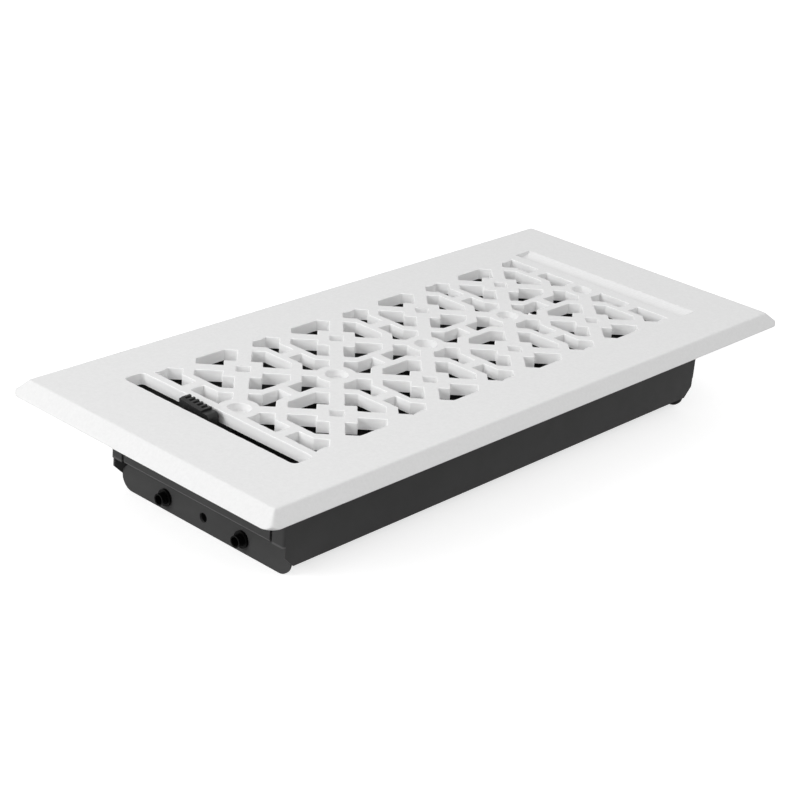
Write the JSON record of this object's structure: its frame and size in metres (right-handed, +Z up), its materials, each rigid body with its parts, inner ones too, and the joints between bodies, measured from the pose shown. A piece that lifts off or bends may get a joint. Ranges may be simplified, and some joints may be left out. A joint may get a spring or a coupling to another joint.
{
  "type": "floor register",
  "caption": "Rectangular floor register with a bevelled cast lattice face, a lever slot with a ridged thumb tab, and a folded steel damper box whose linked louvres open and shut the duct.",
  "frame": {"origin": "middle of the duct neck at floor level, in the plane of the rim's underside", "axes": "+X along the plate, away from the thumb tab; +Y across it; +Z up out of the floor"},
  "size_m": [0.294, 0.136, 0.0461],
  "materials": {
    "plate_white": "white powder coat with a fine grain",
    "box_grey": "satin dark grey paint on sheet steel",
    "louvre_dark": "matt black paint on sheet steel",
    "black_plastic": "moulded black plastic",
    "zinc_steel": "zinc plated"
  },
  "bodies": {
    "base": {"face_plate": "plate_white", "damper_box": "box_grey", "frame_screws": "zinc_steel", "lever_bush_left": "black_plastic", "lever_bush_right": "black_plastic", "far_bush_left": "black_plastic", "far_bush_right": "black_plastic"},
    "louvre_left": {"louvre_left": "louvre_dark", "lever_cap_left": "black_plastic", "far_cap_left": "black_plastic"},
    "louvre_right": {"louvre_right": "louvre_dark", "lever_cap_right": "black_plastic", "far_cap_right": "black_plastic"},
    "control": {"control_bar": "louvre_dark", "thumb_tab": "black_plastic"}
  },
  "joints": [
    {"name": "louvre_left_turn", "type": "hinge", "parent": "base", "child": "louvre_left", "pos_m": [0, 0.0203, -0.0333], "axis": [1, 0, 0], "range_deg": [0, 90]},
    {"name": "louvre_right_turn", "type": "hinge", "parent": "base", "child": "louvre_right", "pos_m": [0, -0.0203, -0.0333], "axis": [1, 0, 0], "range_deg": [0, 90]},
    {"name": "control_swing", "type": "hinge", "parent": "louvre_left", "child": "control", "pos_m": [-0.1116, 0.0302, -0.0234], "axis": [1, 0, 0], "range_deg": [-90, 0]}
  ],
  "couplings": [
    {"joint": "louvre_right_turn", "follows": "louvre_left_turn", "ratio": 1},
    {"joint": "control_swing", "follows": "louvre_left_turn", "ratio": -1}
  ]
}
